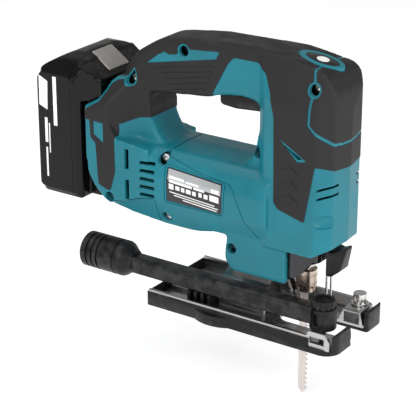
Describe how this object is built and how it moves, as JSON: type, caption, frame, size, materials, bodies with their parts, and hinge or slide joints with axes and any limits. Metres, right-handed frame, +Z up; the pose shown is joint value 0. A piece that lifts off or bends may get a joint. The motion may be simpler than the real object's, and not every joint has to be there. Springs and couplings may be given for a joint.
{
  "type": "jigsaw power tool",
  "caption": "Cordless D-handle jigsaw with a tilting base, dust nozzle, slide battery and a crank-driven blade.",
  "frame": {"origin": "centre of the sole, where the base rests on the work", "axes": "+X forwards towards the blade, +Y to the tool's left, +Z up"},
  "size_m": [0.267, 0.084, 0.2699],
  "materials": {
    "teal_plastic": "moulded nylon, satin",
    "black_rubber": "overmoulded elastomer, matt",
    "black_plastic": "moulded, fine grain",
    "gloss_black": "polished",
    "smoke_clear": "smoke tinted, transparent",
    "bright_steel": "zinc plated",
    "grey_steel": "pressed and phosphated",
    "cast_alloy": "die cast",
    "clamp_steel": "turned, plated",
    "blade_steel": "ground",
    "button_grey": "painted silver",
    "label_print": "printed foil, no lettering",
    "lens_dark": "dark lens",
    "copper_winding": "enamelled wire",
    "cell_wrap": "shrink sleeve on steel cans",
    "circuit_board": "solder masked",
    "brass_contact": "plated"
  },
  "bodies": {
    "base": {"cover_shoe": "black_plastic", "base_plate": "grey_steel", "bevel_seat": "grey_steel", "fence_bolt": "bright_steel", "nozzle_clip": "black_plastic", "dust_nozzle": "black_plastic"},
    "nozzle_screw": {"nozzle_screw": "black_plastic"},
    "housing": {"housing_right": "teal_plastic", "housing_left": "teal_plastic", "grip_right": "black_rubber", "grip_left": "black_rubber", "rear_pad_right": "black_rubber", "rear_pad_left": "black_rubber", "rating_plate": "label_print", "nose_badge": "gloss_black", "housing_screws": "bright_steel", "lamp_lens": "lens_dark", "work_lamp": "lens_dark", "gear_axle": "bright_steel", "motor_stator": "grey_steel", "stator_coils": "copper_winding", "rear_bearing": "bright_steel", "front_bearing": "bright_steel", "motor_end_plate": "black_plastic", "gear_case": "cast_alloy", "lower_bush": "brass_contact", "upper_bush": "brass_contact", "holder_pin": "bright_steel", "bevel_bearing": "cast_alloy", "clamp_plate": "grey_steel", "bevel_bolt": "bright_steel", "guard_wire": "bright_steel", "wire_holder": "black_plastic", "switch_body": "black_plastic", "motor_controller": "circuit_board", "terminal_block": "black_plastic"},
    "rotor": {"motor_rotor": "grey_steel", "pinion": "bright_steel", "cooling_fan": "black_plastic"},
    "crank": {"crank_gear": "grey_steel", "crank_pin": "bright_steel"},
    "plunger": {"plunger": "bright_steel", "crank_yoke": "grey_steel", "blade_clamp": "clamp_steel", "blade": "blade_steel"},
    "roller_holder": {"roller_holder": "grey_steel", "roller_pin": "bright_steel"},
    "roller": {"blade_roller": "grey_steel"},
    "chip_guard": {"chip_guard": "smoke_clear"},
    "tool_opener": {"tool_opener": "black_plastic"},
    "trigger": {"trigger": "black_plastic", "trigger_spring": "bright_steel"},
    "lock_button": {"lock_button": "black_plastic"},
    "orbital_lever": {"orbital_lever": "black_plastic"},
    "battery": {"battery_tub": "gloss_black", "battery_cover": "black_plastic", "battery_cells": "cell_wrap", "battery_board": "circuit_board", "battery_contacts": "brass_contact"},
    "battery_button": {"battery_button": "button_grey"}
  },
  "joints": [
    {"name": "bevel_tilt", "type": "hinge", "parent": "base", "child": "housing", "pos_m": [-0.012, 0, 0.006], "axis": [-1, 0, 0], "range_deg": [0, 45]},
    {"name": "nozzle_screw_turn", "type": "hinge", "parent": "base", "child": "nozzle_screw", "pos_m": [0.064, -0.023, 0.03], "axis": [0, 0, 1], "continuous": true},
    {"name": "rotor_spin", "type": "hinge", "parent": "housing", "child": "rotor", "pos_m": [-0.045, 0, 0.092], "axis": [1, 0, 0], "continuous": true},
    {"name": "crank_spin", "type": "hinge", "parent": "housing", "child": "crank", "pos_m": [0.018, 0, 0.119], "axis": [1, 0, 0], "continuous": true},
    {"name": "blade_stroke", "type": "slide", "parent": "housing", "child": "plunger", "axis": [0, 0, 1], "range_m": [0, 0.026]},
    {"name": "roller_swing", "type": "hinge", "parent": "housing", "child": "roller_holder", "pos_m": [0.014, 0, 0.06], "axis": [0, 1, 0], "range_deg": [0, 4], "stiffness_Nm_per_rad": 0.3, "springref_deg": -8.59},
    {"name": "roller_spin", "type": "hinge", "parent": "roller_holder", "child": "roller", "pos_m": [0.0246, 0, 0.02], "axis": [0, 1, 0], "continuous": true},
    {"name": "guard_slide", "type": "slide", "parent": "housing", "child": "chip_guard", "axis": [0, 0, 1], "range_m": [0, 0.015]},
    {"name": "opener_swing", "type": "hinge", "parent": "housing", "child": "tool_opener", "pos_m": [0.036, 0, 0.056], "axis": [0, 0, 1], "range_deg": [0, 30], "stiffness_Nm_per_rad": 0.05, "springref_deg": -17.19},
    {"name": "trigger_pull", "type": "slide", "parent": "housing", "child": "trigger", "axis": [0, 0, 1], "range_m": [0, 0.006], "stiffness_N_per_m": 600, "springref_m": -0.004, "deforming": ["trigger_spring"]},
    {"name": "lock_push", "type": "slide", "parent": "housing", "child": "lock_button", "axis": [0, -1, 0], "range_m": [0, 0.004], "stiffness_N_per_m": 300, "springref_m": -0.003},
    {"name": "orbital_turn", "type": "hinge", "parent": "housing", "child": "orbital_lever", "pos_m": [-0.003, 0.027, 0.056], "axis": [0, -1, 0], "range_deg": [0, 90]},
    {"name": "battery_slide", "type": "slide", "parent": "housing", "child": "battery", "axis": [0, 0, 1], "range_m": [0, 0.1]},
    {"name": "battery_release", "type": "slide", "parent": "battery", "child": "battery_button", "axis": [-0.5655, 0, -0.8247], "range_m": [0, 0.003], "stiffness_N_per_m": 500, "springref_m": -0.003}
  ],
  "couplings": [
    {"joint": "crank_spin", "follows": "rotor_spin", "ratio": -0.22727}
  ]
}
